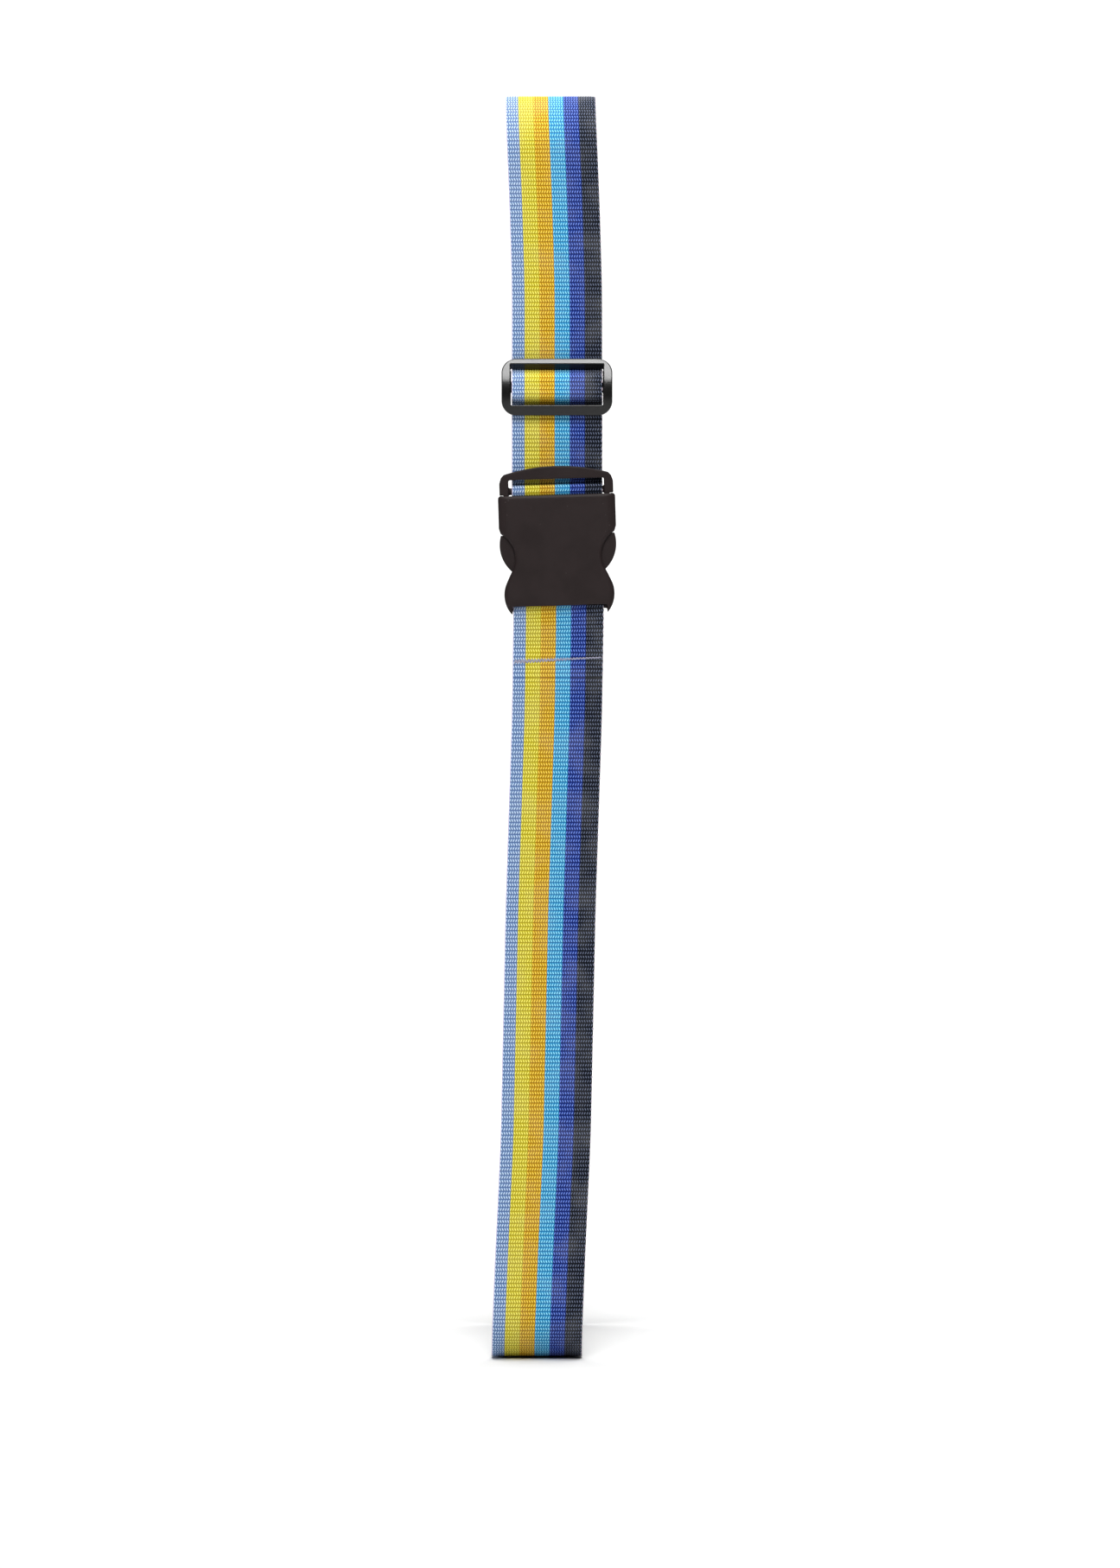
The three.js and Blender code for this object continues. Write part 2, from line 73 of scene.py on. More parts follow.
# ---- the loop, measured on the frame ----
BACK_LOW, BACK_HIGH = box_mm("webbing_back_run")
TOP_LOW, TOP_HIGH = box_mm("webbing_top_run")
BOTTOM_HIGH = box_mm("webbing_bottom_run")[1]
WEB = BACK_HIGH.y - BACK_LOW.y
WIDTH = TOP_HIGH.x - TOP_LOW.x
CASE_BACK = BACK_LOW.y
CASE_FRONT = -CASE_BACK
LOOP_HEIGHT = -BOTTOM_HIGH.z
LOOP_DEPTH = 2 * CASE_BACK
GAP = 0.3
PITCH = WEB + GAP
HALF_WEB = WEB / 2
CORNER = 28 + HALF_WEB

# ---- the buckle, placed by its joints ----
JOINTS = {joint["name"]: joint for joint in frame["joints"]}
BUCKLE_DOWN = Vector(JOINTS["socket_release"]["axis"])
BUCKLE_TURN = math.asin(BUCKLE_DOWN.x)
HINGE_HEIGHT = 15.9
LEFT_HINGE = Vector(JOINTS["prong_left_press"]["pos_m"]) / MM
RIGHT_HINGE = Vector(JOINTS["prong_right_press"]["pos_m"]) / MM
BUCKLE = (LEFT_HINGE + RIGHT_HINGE) / 2 + HINGE_HEIGHT * BUCKLE_DOWN
ARCH_TOP = 41.2
PLUG_RUN_END = ARCH_TOP - 3.2
INNER_BAR = (25.8, 29.6)
ANCHOR_BAR = (-38.2, -34.2)
EAR_TIP = -40.4
BAR_THICKNESS = 3.4
BAR_BACK = 2 * PITCH + 0.4
BAR_FRONT = BAR_BACK + BAR_THICKNESS
TURN_EASE = 20
SOCKET_SEAM = 66
SOCKET_TAIL = 74
SEAM_TILT = 0.05
CROWN, CROWN_REACH = 0.8, 30
EDGE_ROLL, EDGE_START = 1.5, 27.4

# ---- the slider ----
SLIDER_HEIGHT = 31.4
SLIDER_TILT = math.asin(2 * PITCH / SLIDER_HEIGHT)
SLIDER_Z = -159.6
SLIDER_DEPTH = 2 * PITCH + 0.1
WINDOW_EDGE = 10.2
CENTRE_BAR_BACK = 1.6
CENTRE_BAR_FRONT = 4.8
CENTRE_BAR_HALF = 3
SLIDER_TAIL = 26
SLIDER_SEAM = 22
SLIDER_PASS_LOW = -SLIDER_HEIGHT / 2 - 1.3
RAIL_INSIDE = 25.7
RAIL_DRAFT = 0.5

# ---- how the worn strap wanders: drop, shift to +X ----
ANCHOR_SHIFT = 0.83
WANDER = (
    (0, -3.8), (28, -2.6), (60, -1.3), (105, 0), (210, 0), (278, ANCHOR_SHIFT), (284, ANCHOR_SHIFT),
    (340, 0), (450, -3.6), (577, -6.3), (640, -9.3), (690, -11.3),
)
WANDER_EASE = (-12, -8, -4, 0, 4, 8, 12)

# ---- the weave ----
ROW = 2.23
COLUMNS = 36
RELIEF = 0.24
SLANT = 0.62
END_CREASE = math.radians(65)
LOOP_WIDTH = 0.7
LOOP_DEPTH_OUT = 0.8
LOOP_LENGTH = 1.9

# ---- the seams ----
STITCHES = 54
THREAD = 0.82
ANCHOR_ZIGZAG = (2.5, 0.4)
SLIDER_ZIGZAG = (1.4, 1.4)

# Warp colours from the left edge: columns, shadowed, lit and shining yarn.
STRIPES = (
    (5, (66, 92, 142), (132, 164, 207), (216, 235, 255)),
    (6, (154, 136, 16), (222, 209, 60), (255, 250, 124)),
    (6, (140, 92, 4), (222, 178, 34), (255, 226, 96)),
    (6, (16, 94, 150), (68, 174, 222), (164, 236, 255)),
    (6, (6, 18, 80), (30, 62, 152), (122, 152, 240)),
    (7, (3, 5, 13), (19, 26, 40), (112, 122, 146)),
)
LEFT_EDGE = (206, 196, 226)
RIGHT_EDGE = (190, 178, 190)


def linear(colour):
    """An 0-255 display colour as the linear colour that a shader takes."""
    parts = [c / 255 for c in colour]
    return tuple(p / 12.92 if p < 0.04 else ((p + 0.055) / 1.055) ** 2.4 for p in parts) + (1,)


# ======== node trees written as expressions ========
class Wire:
    """An output in a node tree. Arithmetic on it adds Math nodes."""

    def __init__(self, tree, socket):
        self.tree = tree
        self.socket = socket

    def output(self, name):
        return Wire(self.tree, self.socket.node.outputs[name])

    def math(self, operation, *others):
        return add(self.tree, "ShaderNodeMath", {"operation": operation}, (self, *others))

    def __add__(self, other):
        return self.math("ADD", other)

    def __radd__(self, other):
        return self.math("ADD", other)

    def __sub__(self, other):
        return self.math("SUBTRACT", other)

    def __rsub__(self, other):
        return add(self.tree, "ShaderNodeMath", {"operation": "SUBTRACT"}, (other, self))

    def __mul__(self, other):
        return self.math("MULTIPLY", other)

    def __rmul__(self, other):
        return self.math("MULTIPLY", other)

    def __truediv__(self, other):
        return self.math("DIVIDE", other)

    def __rtruediv__(self, other):
        return add(self.tree, "ShaderNodeMath", {"operation": "DIVIDE"}, (other, self))

    def __gt__(self, other):
        return self.math("GREATER_THAN", other)

    def __lt__(self, other):
        return self.math("LESS_THAN", other)

    def floor(self):
        return self.math("FLOOR")

    def fraction(self):
        return self.math("FRACT")

    def ramp(self, low, high):
        """0 at low and 1 at high, eased in between."""
        settings = {"interpolation_type": "SMOOTHSTEP"}
        return add(self.tree, "ShaderNodeMapRange", settings, {0: self, 1: low, 2: high})


def add(tree, kind, settings=None, inputs=(), output=0):
    """Adds a node, sets it up, feeds its sockets and returns one of its outputs."""
    node = tree.nodes.new(kind)
    for name, value in (settings or {}).items():
        if name == "stops":
            set_stops(node.color_ramp, value)
        else:
            setattr(node, name, value)
    for key, value in inputs.items() if isinstance(inputs, dict) else enumerate(inputs):
        if isinstance(value, Wire):
            tree.links.new(value.socket, node.inputs[key])
        else:
            node.inputs[key].default_value = value
    return Wire(tree, node.outputs[output])


def set_stops(ramp, stops):
    ramp.interpolation = "CONSTANT"
    while len(ramp.elements) < len(stops):
        ramp.elements.new(1)
    for element, (position, colour) in zip(ramp.elements, stops):
        element.position = position
        element.color = colour


def mix(tree, share, first, second):
    """One colour fading to another."""
    return add(tree, "ShaderNodeMix", {"data_type": "RGBA"}, {0: share, 6: first, 7: second}, 2)


def twill(across, along):
    """The weave at a place: share down a row, and share across a yarn slanted in that row."""
    rows = along / ROW
    down = rows.fraction()
    slant = 1 - 2 * (rows.floor() * 0.5).fraction() * 2
    yarns = across * (COLUMNS / WIDTH) + slant * (down - 0.5) * SLANT
    return down, yarns.fraction()


# ======== geometry trees ========
def geometry_tree(name, sizes):
    """An empty tree with named inputs, and a wire for each of them."""
    tree = bpy.data.node_groups.new(name, "GeometryNodeTree")
    tree.interface.new_socket("Geometry", in_out="INPUT", socket_type="NodeSocketGeometry")
    for label, kind in sizes.items():
        tree.interface.new_socket(label, in_out="INPUT", socket_type="NodeSocket" + kind)
    tree.interface.new_socket("Geometry", in_out="OUTPUT", socket_type="NodeSocketGeometry")
    start = tree.nodes.new("NodeGroupInput")
    return tree, {socket.name: Wire(tree, socket) for socket in start.outputs if socket.name}


def end_tree(tree, parts, material):
    """Joins the parts, turns instances real and gives the material."""
    joined = tree.nodes.new("GeometryNodeJoinGeometry")
    for part in parts:
        tree.links.new(part.socket, joined.inputs[0])
    real = add(tree, "GeometryNodeRealizeInstances", None, {0: Wire(tree, joined.outputs[0])})
    painted = add(tree, "GeometryNodeSetMaterial", None, {"Geometry": real, "Material": material})
    finish = tree.nodes.new("NodeGroupOutput")
    tree.links.new(painted.socket, finish.inputs[0])
    return tree


def combine(tree, x=0.0, y=0.0, z=0.0):
    return add(tree, "ShaderNodeCombineXYZ", None, (x, y, z))


def scaled(vector, amount):
    return add(vector.tree, "ShaderNodeVectorMath", {"operation": "SCALE"}, {0: vector, 3: amount})


def vectors(operation, first, second):
    tree = first.tree if isinstance(first, Wire) else second.tree
    return add(tree, "ShaderNodeVectorMath", {"operation": operation}, (first, second))


def store_weave(tree, geometry, across, along):
    """Keeps the place in the weave, in millimetres, as the piece's own UV map."""
    settings = {"data_type": "FLOAT2", "domain": "CORNER"}
    inputs = {"Geometry": geometry, "Name": "weave", "Value": combine(tree, across, along)}
    return add(tree, "GeometryNodeStoreNamedAttribute", settings, inputs)


def ribbon_tree():
    """Webbing woven along a path: a flat tube of rows and slanted yarns, with weft loops at one edge."""
    sizes = {
        "Width": "Float", "Thickness": "Float", "Relief": "Float", "Rows": "Int",
        "Steps per row": "Int", "Steps across": "Int", "Loop length": "Float", "Material": "Material",
    }
    tree, size = geometry_tree("woven_ribbon", sizes)
    path = add(tree, "GeometryNodeMeshToCurve", None, {0: size["Geometry"]})
    length = add(tree, "GeometryNodeCurveLength", None, {0: path})
    ribbon = ribbon_surface(tree, size, path, length)
    loops = weft_loops(tree, size, path)
    return end_tree(tree, [ribbon, loops], size["Material"])


def ribbon_surface(tree, size, path, length):
    steps = size["Rows"] * size["Steps per row"] + 2
    inputs = {"Size X": 1, "Size Y": 1, "Vertices X": 2 * size["Steps across"] + 1, "Vertices Y": steps + 1}
    grid = add(tree, "GeometryNodeMeshGrid", None, inputs)
    place = add(tree, "ShaderNodeSeparateXYZ", None, (add(tree, "GeometryNodeInputPosition"),))
    around = place + 0.5
    step = ((place.output("Y") + 0.5) * steps).math("ROUND")
    # The first and last rings close to a line, at the same place as their neighbours.
    closed = (step > 0.5) * (step < steps - 0.5)
    share = ((step - 1) / (steps - 2)).math("MAXIMUM", 0).math("MINIMUM", 1)
    across = 1 - (2 * around - 1).math("ABSOLUTE")
    side = 1 - 2 * (around > 0.5)
    along = share * size["Rows"] * ROW
    down, yarn = twill(across * size["Width"], along)
    row_swell = (down.math("POWER", 0.8) * math.pi).math("SINE")
    yarn_swell = ((yarn - 0.5) * 2 * math.pi).math("COSINE")
    swell = row_swell * (0.55 + 0.45 * yarn_swell) * size["Relief"]
    flat = (1 - (2 * across - 1).math("ABSOLUTE").math("POWER", 24)).math("SQRT")
    half = size["Thickness"] * 0.5 - size["Relief"]
    out = side * closed * flat * (half + swell)
    sample = add(
        tree, "GeometryNodeSampleCurve", {"mode": "LENGTH"},
        {"Curves": path, "Length": share * length}, "Position",
    )
    outward = vectors("CROSS_PRODUCT", sample.output("Tangent"), (1, 0, 0))
    sideways = combine(tree, (across - 0.5) * size["Width"])
    moved = vectors("ADD", vectors("ADD", sample, sideways), scaled(outward, out))
    kept = store_weave(tree, grid, across * size["Width"], along)
    shaped = add(tree, "GeometryNodeSetPosition", None, {"Geometry": kept, "Position": moved})
    return add(tree, "GeometryNodeMergeByDistance", None, {"Geometry": shaped, "Distance": 0.01})


def weft_loops(tree, size, path):
    """The weft turns back at the right edge in a small loop every two rows."""
    count = size["Rows"] / 2
    # One row is left free at either end, so that no loop reaches past the piece.
    row = 1 / size["Rows"]
    inside = add(tree, "GeometryNodeTrimCurve", {"mode": "FACTOR"}, {0: path, 2: row, 3: 1 - row})
    points = add(tree, "GeometryNodeResampleCurve", None, {"Curve": inside, "Count": count})
    tangent = add(tree, "GeometryNodeInputTangent")
    turned = add(tree, "FunctionNodeAlignRotationToVector", {"axis": "Z"}, {"Vector": tangent})
    loop = add(tree, "GeometryNodeMeshUVSphere", None, {"Segments": 6, "Rings": 4, "Radius": 0.5})
    stored = store_weave(tree, loop, size["Width"] + 1, 0.5)
    shift = combine(tree, size["Width"] * 0.5 - 0.1)
    moved = add(tree, "GeometryNodeSetPosition", None, {"Geometry": points, "Offset": shift})
    inputs = {
        "Points": moved, "Instance": stored, "Rotation": turned,
        "Scale": combine(tree, LOOP_WIDTH, LOOP_DEPTH_OUT, size["Loop length"]),
    }
    return add(tree, "GeometryNodeInstanceOnPoints", None, inputs)


def seam_tree():
    """A zigzag of separate stitches across the webbing, taller at its left end."""
    sizes = {
        "Stitches": "Int", "Reach": "Float", "Left height": "Float", "Right height": "Float",
        "Tilt": "Float", "Thread": "Float", "Material": "Material",
    }
    tree, size = geometry_tree("zigzag_seam", sizes)
    index = add(tree, "GeometryNodeInputIndex")
    share = (index + 0.5) / size["Stitches"]
    rise = size["Left height"] + (size["Right height"] - size["Left height"]) * share
    across = (share - 0.5) * 2 * size["Reach"]
    step = 2 * size["Reach"] / size["Stitches"]
    sign = 1 - 4 * (index * 0.5).fraction()
    line = add(tree, "GeometryNodeMeshLine", None, {"Count": size["Stitches"]})
    place = combine(tree, across, 0.0, across * size["Tilt"])
    points = add(tree, "GeometryNodeSetPosition", None, {"Geometry": line, "Position": place})
    direction = combine(tree, step, 0.0, sign * rise + step * size["Tilt"])
    reach = vectors("LENGTH", direction, (0, 0, 0)).output("Value")
    turned = add(tree, "FunctionNodeAlignRotationToVector", {"axis": "X"}, {"Vector": direction})
    stitch = add(tree, "GeometryNodeMeshUVSphere", None, {"Segments": 8, "Rings": 6, "Radius": 0.5})
    scale = combine(tree, reach + size["Thread"] * 0.6, size["Thread"] * 0.8, size["Thread"])
    inputs = {"Points": points, "Instance": stitch, "Rotation": turned, "Scale": scale}
    stitches = add(tree, "GeometryNodeInstanceOnPoints", None, inputs)
    return end_tree(tree, [stitches], size["Material"])


def grow(tree, name, points, sizes):
    """Runs a tree along a line of points, in millimetres, and returns a plain mesh object."""
    line = bpy.data.meshes.new(name)
    line.from_pydata(points, [(i, i + 1) for i in range(len(points) - 1)], [])
    piece = bpy.data.objects.new(name, line)
    bpy.context.scene.collection.objects.link(piece)
    modifier = piece.modifiers.new("grow", "NODES")
    modifier.node_group = tree
    for item in tree.interface.items_tree:
        if item.in_out == "INPUT" and item.name in sizes:
            modifier[item.identifier] = sizes[item.name]
    graph = bpy.context.evaluated_depsgraph_get()
    grown = bpy.data.meshes.new_from_object(
        piece.evaluated_get(graph), preserve_all_data_layers=True, depsgraph=graph
    )
    piece.modifiers.remove(modifier)
    piece.data = grown
    return piece


# ======== mesh helpers ========
def change_points(piece, move):
    """Moves a piece's vertices: move takes and gives an array of points."""
    points = np.empty(len(piece.data.vertices) * 3, np.float32)
    piece.data.vertices.foreach_get("co", points)
    moved = move(points.reshape(-1, 3).astype(float))
    piece.data.vertices.foreach_set("co", moved.astype(np.float32).ravel())
    piece.data.update()


def close_up(piece, crease=None):
    """Brings a finished piece to metres, faces outwards and smooth, but for edges past the crease."""
    piece.data.transform(Matrix.Scale(MM, 4))
    solid = bmesh.new()
    solid.from_mesh(piece.data)
    bmesh.ops.recalc_face_normals(solid, faces=solid.faces)
    solid.to_mesh(piece.data)
    solid.free()
    piece.data.shade_smooth()
    if crease:
        piece.data.set_sharp_from_angle(angle=crease)
    return piece


# ======== routes of the webbing: points of (depth, z) ========
def rounded(corners, steps=8):
    """A route of straight stretches: each corner is (depth, z) or (depth, z, bend radius)."""
    route = []
    for i, (depth, z, *bend) in enumerate(corners):
        here = Vector((depth, z))
        if not bend:
            route.append(here)
            continue
        before = (Vector(corners[i - 1][:2]) - here).normalized()
        after = (Vector(corners[i + 1][:2]) - here).normalized()
        half = before.angle(after) / 2
        middle = (before + after).normalized()
        centre = here + middle * (bend[0] / math.sin(half))
        first = here + before * (bend[0] / math.tan(half)) - centre
        last = here + after * (bend[0] / math.tan(half)) - centre
        sweep = first.angle_signed(last)
        for k in range(steps + 1):
            turn = Matrix.Rotation(-sweep * k / steps, 2)
            route.append(centre + turn @ first)
    return [tuple(p) for p in route]


def layer(n):
    """Depth of the middle of the webbing, n layers out from the case."""
    return HALF_WEB + n * PITCH


def slider_point(lift, height):
    """(depth, z) of a point on the tilted slider: out from its plane, and up along it."""
    cos, sin = math.cos(SLIDER_TILT), math.sin(SLIDER_TILT)
    return SLIDER_DEPTH + lift * cos - height * sin, SLIDER_Z + height * cos + lift * sin


def slider_lift(depth, height):
    """How far out of the slider's plane a depth is, at a height on the slider."""
    return (depth - SLIDER_DEPTH + height * math.sin(SLIDER_TILT)) / math.cos(SLIDER_TILT)


def on_slider(corners, steps=8):
    return [slider_point(*p) for p in rounded(corners, steps)]


def quarter(centre_depth, centre_z, start, steps=16):
    """A quarter turn of the loop round one edge of the case, starting at an angle."""
    angles = [start - math.pi / 2 * k / steps for k in range(steps + 1)]
    return [(centre_depth + CORNER * math.cos(a), centre_z + CORNER * math.sin(a)) for a in angles]


def wandered(points):
    """Shifts a run of webbing sideways where the worn strap wanders, and tilts it by the buckle."""
    x, y, z = points.T
    drops, shifts = zip(*WANDER)
    shift = np.mean([np.interp(ease - z, drops, shifts) for ease in WANDER_EASE], axis=0)
    away = np.maximum.reduce([z - BUCKLE.z - ARCH_TOP, BUCKLE.z + EAR_TIP - z, 0 * z])
    slope = np.where(y < 0, math.tan(BUCKLE_TURN) * np.clip(1 - away / TURN_EASE, 0, 1), 0)
    return np.stack([x + shift, y, z + (x - BUCKLE.x) * slope], axis=1)


def length_of(route):
    return sum(math.dist(a, b) for a, b in zip(route, route[1:]))


def webbing(name, route, nodes, material, fine=True, wander=True):
    """A piece of webbing along a route of (depth, z) points, standing for CAD nodes."""
    length = length_of(route)
    sizes = {
        "Width": WIDTH, "Thickness": WEB, "Relief": RELIEF, "Rows": max(2, round(length / ROW)),
        "Steps per row": 4 if fine else 3, "Steps across": 2 * COLUMNS if fine else COLUMNS,
        "Loop length": LOOP_LENGTH, "Material": material,
    }
    points = [(0, CASE_FRONT - depth, z) for depth, z in route]
    piece = grow(RIBBON, name, points, sizes)
    if wander:
        change_points(piece, wandered)
    close_up(piece, END_CREASE)
    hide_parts(*nodes)
    return piece


# ======== materials ========
def material(name):
    """A new material, its tree and its shader."""
    made = bpy.data.materials.new(name)
    made.use_nodes = True
    tree = made.node_tree
    return made, tree, tree.nodes["Principled BSDF"]


def feed(tree, shader, **sockets):
    """Links wires to a shader's sockets, named with underscores for spaces."""
    for name, wire in sockets.items():
        tree.links.new(wire.socket, shader.inputs[name.replace("_", " ")])


def bump(tree, height, distance, strength=1.0):
    inputs = {"Height": height, "Distance": distance, "Strength": strength}
    return add(tree, "ShaderNodeBump", None, inputs)


def noise(tree, place, scale, detail=2.0):
    return add(tree, "ShaderNodeTexNoise", None, {"Vector": place, "Scale": scale, "Detail": detail})


def stripe_colours(tree, across, tone):
    """The stripes' colour in one tone, with the weft's own colour past either edge."""
    span = WIDTH + 2
    stops = [(0, linear(LEFT_EDGE))]
    column = 0
    for count, *tones in STRIPES:
        start = (column * WIDTH / COLUMNS + 1) / span if column else 1.35 / span
        stops.append((start, linear(tones[tone])))
        column += count
    stops.append(((WIDTH + 1.2) / span, linear(RIGHT_EDGE)))
    return add(tree, "ShaderNodeValToRGB", {"stops": stops}, {0: (across + 1) / span})


def webbing_material(name, top=None):
    """Woven polyester. Rows are counted along the piece, or down from a given height."""
    made, tree, shader = material(name)
    place = add(tree, "ShaderNodeUVMap", {"uv_map": "weave"})
    across = add(tree, "ShaderNodeSeparateXYZ", None, (place,))
    along = across.output("Y")
    if top is not None:
        still = add(tree, "ShaderNodeTexCoord", None, (), "Object")
        height = add(tree, "ShaderNodeSeparateXYZ", None, (still,), "Z")
        along = top - height / MM
    down, yarn = twill(across, along)
    middle = 1 - (2 * yarn - 1).math("ABSOLUTE")
    shining = middle.ramp(0.42, 0.85) * down.ramp(0.25, 0.55) * (1 - down.ramp(0.86, 1.0))
    groove = 1 - down.ramp(0.02, 0.36) * (1 - down.ramp(0.94, 1.0))
    between = 1 - middle.ramp(0.08, 0.66)
    strands = noise(tree, scaled_place(tree, across, along), 1.0, 3.0)
    wear_and_edge_highlight = noise(tree, add(tree, "ShaderNodeTexCoord", None, (), "Object"), 60.0)
    shadow = (groove.math("MAXIMUM", between * 0.85) * (0.8 + 0.4 * strands)).math("MINIMUM", 1)
    light = shining * (0.55 + 0.7 * strands)
    bright = light.math("MINIMUM", 1)
    lit = mix(tree, bright, stripe_colours(tree, across, 1), stripe_colours(tree, across, 2))
    colour = mix(tree, shadow, lit, stripe_colours(tree, across, 0))
    aged = mix(tree, wear_and_edge_highlight.ramp(0.35, 0.75) * 0.06, colour, (0.62, 0.6, 0.58, 1))
    relief = light * 0.6 + (1 - groove) * 0.5 + strands * 0.12
    feed(
        tree, shader, Base_Color=aged, Roughness=0.78 - light * 0.24,
        Normal=bump(tree, relief, 0.16 * MM, 0.7),
    )
    shader.inputs["Specular IOR Level"].default_value = 0.12
    return made


def scaled_place(tree, across, along):
    """A fine grain that runs along the yarns."""
    return combine(tree, across * 7, along * 1.6)


def plastic_material(name, tint, dull, gloss, grain, relief):
    """Moulded nylon: fine spark-eroded grain, faint blotches, dust specks, and polished edges painted with
    a highlight.
    """
    made, tree, shader = material(name)
    place = add(tree, "ShaderNodeTexCoord", None, (), "Object")
    fine = noise(tree, place, 1 / (grain * MM), 3.0)
    blotch = noise(tree, place, 70.0, 3.0)
    specks = add(tree, "ShaderNodeTexVoronoi", None, {"Vector": place, "Scale": 260.0})
    dust = 1 - specks.ramp(0.03, 0.09)
    edge = add(tree, "ShaderNodeNewGeometry", None, (), "Pointiness").ramp(0.52, 0.60)
    base = mix(tree, blotch.ramp(0.3, 0.7), linear(tint), linear([c + 5 for c in tint]))
    dusty = mix(tree, dust * blotch.ramp(0.5, 0.66) * 0.25, base, linear((120, 116, 112)))
    # Sharp edges are painted lighter: a painted highlight along them.
    wear_and_edge_highlight = mix(tree, edge * 0.3, dusty, linear([c + 26 for c in tint]))
    rough = dull + fine * 0.1 + blotch * 0.06 - edge * dull * 0.2
    raised = bump(tree, fine + dust * 0.3, 0.06 * MM, relief)
    feed(tree, shader, Base_Color=wear_and_edge_highlight, Roughness=rough, Normal=raised)
    shader.inputs["Specular IOR Level"].default_value = gloss
    return made


def thread_material(name):
    """Twisted sewing thread, grey with a lilac cast."""
    made, tree, shader = material(name)
    place = add(tree, "ShaderNodeTexCoord", None, (), "Object")
    diagonal = {"bands_direction": "DIAGONAL"}
    twist = add(tree, "ShaderNodeTexWave", diagonal, {"Vector": place, "Scale": 900.0}, "Fac")
    colour = mix(tree, twist, linear((112, 112, 138)), linear((186, 184, 206)))
    feed(tree, shader, Base_Color=colour, Roughness=0.75 - twist * 0.2, Normal=bump(tree, twist, 0.1 * MM))
    shader.inputs["Sheen Weight"].default_value = 0.2
    return made


# ======== moulded plastic ========
def moulded(name, node, voxel, softening, shape=None):
    """A moulded copy of a CAD piece: its edges drawn round, as plastic comes out of a mould."""
    copy = frame["nodes"][node].data.copy()
    copy.transform(Matrix.Scale(1 / MM, 4))
    solid = bmesh.new()
    solid.from_mesh(copy)
    bmesh.ops.remove_doubles(solid, verts=solid.verts, dist=0.002)
    solid.to_mesh(copy)
    solid.free()
    piece = bpy.data.objects.new(name, copy)
    bpy.context.scene.collection.objects.link(piece)
    remesh = piece.modifiers.new("remesh", "REMESH")
    remesh.mode = "VOXEL"
    remesh.voxel_size = voxel
    soften = piece.modifiers.new("soften", "SMOOTH")
    soften.factor = 0.5
    soften.iterations = softening
    graph = bpy.context.evaluated_depsgraph_get()
    made = bpy.data.meshes.new_from_object(piece.evaluated_get(graph), depsgraph=graph)
    piece.modifiers.clear()
    piece.data = made
    if shape:
        change_points(piece, shape)
    close_up(piece)
    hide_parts(node)
    return piece


def crowned_socket(points):
    """The socket's front rolls off towards its sides, and is a little fuller in the middle."""
    away = points - np.array(BUCKLE)
    across = np.abs(away[:, 2] * BUCKLE_DOWN.x - away[:, 0] * BUCKLE_DOWN.z)
    depth = CASE_FRONT - points[:, 1]
    front = np.clip((depth - 6) / 7, 0, 1)
    crown = CROWN * (across / CROWN_REACH) ** 2
    edge = EDGE_ROLL * np.clip((across - EDGE_START) / 5, 0, 1) ** 1.6
    points[:, 1] += front * (crown + edge)
    return points


def drafted_slider(points):
    """The slider's rails lean in towards the back of the window, as a mould's draft makes them."""
    across = np.abs(points[:, 0])
    inner = np.clip(1 - np.abs(across - RAIL_INSIDE) / 1.5, 0, 1)
    back = np.clip((SLIDER_DEPTH + 5 - (CASE_FRONT - points[:, 1])) / 5, 0, 1)
    rail = np.abs(points[:, 2] - SLIDER_Z) < WINDOW_EDGE - 1
    points[:, 0] -= np.sign(points[:, 0]) * RAIL_DRAFT * inner * back * rail
    return points


def finish_plastic(piece, body, paint):
    """Paints a moulding and puts it on its body."""
    piece.data.materials.clear()
    piece.data.materials.append(paint)
    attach(piece, body)


# ======== the studio ========
def camera():
    """Far off and a little above, so that the strap is seen almost without perspective."""
    distance, height_seen, elevation = 10.0, 0.868, math.radians(2.2)
    aim = Vector((1.7, CASE_FRONT, -379)) * MM
    back = Vector((0, -math.cos(elevation), math.sin(elevation)))
    lens = bpy.data.cameras.new("camera")
    lens.sensor_width = 36
    lens.lens = 36 * distance / height_seen
    lens.clip_end = 100
    seen = bpy.data.objects.new("camera", lens)
    seen.location = aim + back * distance
    seen.rotation_euler = (-back).to_track_quat("-Z", "Y").to_euler()
    bpy.context.scene.collection.objects.link(seen)
    bpy.context.scene.camera = seen


def stage():
    """A pale floor that sweeps up into the wall behind, and is clear when seen from its far side."""
    floor = (-LOOP_HEIGHT - WEB - 0.6) * MM
    bend, back, wide, near, top = 1.5, 3.0, 12.0, -14.0, 6.0
    profile = [(near, floor), (back, floor)]
    profile += [
        (back + bend * math.sin(a), floor + bend * (1 - math.cos(a)))
        for a in np.linspace(0, math.pi / 2, 24)
    ]
    profile.append((back + bend, top))
    corners = [(x, y, z) for y, z in profile for x in (-wide, wide)]
    faces = [(i, i + 1, i + 3, i + 2) for i in range(0, len(corners) - 2, 2)]
    sweep = bpy.data.meshes.new("studio_floor")
    sweep.from_pydata(corners, [], faces)
    sweep.shade_smooth()
    floor_piece = bpy.data.objects.new("studio_floor", sweep)
    bpy.context.scene.collection.objects.link(floor_piece)
    paint, tree, shader = material("studio_paper")
    shader.inputs["Base Color"].default_value = (0.74, 0.74, 0.74, 1)
    shader.inputs["Roughness"].default_value = 0.9
    far_side = add(tree, "ShaderNodeNewGeometry", None, (), "Backfacing")
    clear = add(tree, "ShaderNodeBsdfTransparent")
    paper = Wire(tree, shader.outputs["BSDF"])
    seen = add(tree, "ShaderNodeMixShader", None, (far_side, paper, clear))
    tree.links.new(seen.socket, tree.nodes["Material Output"].inputs["Surface"])
    sweep.materials.append(paint)


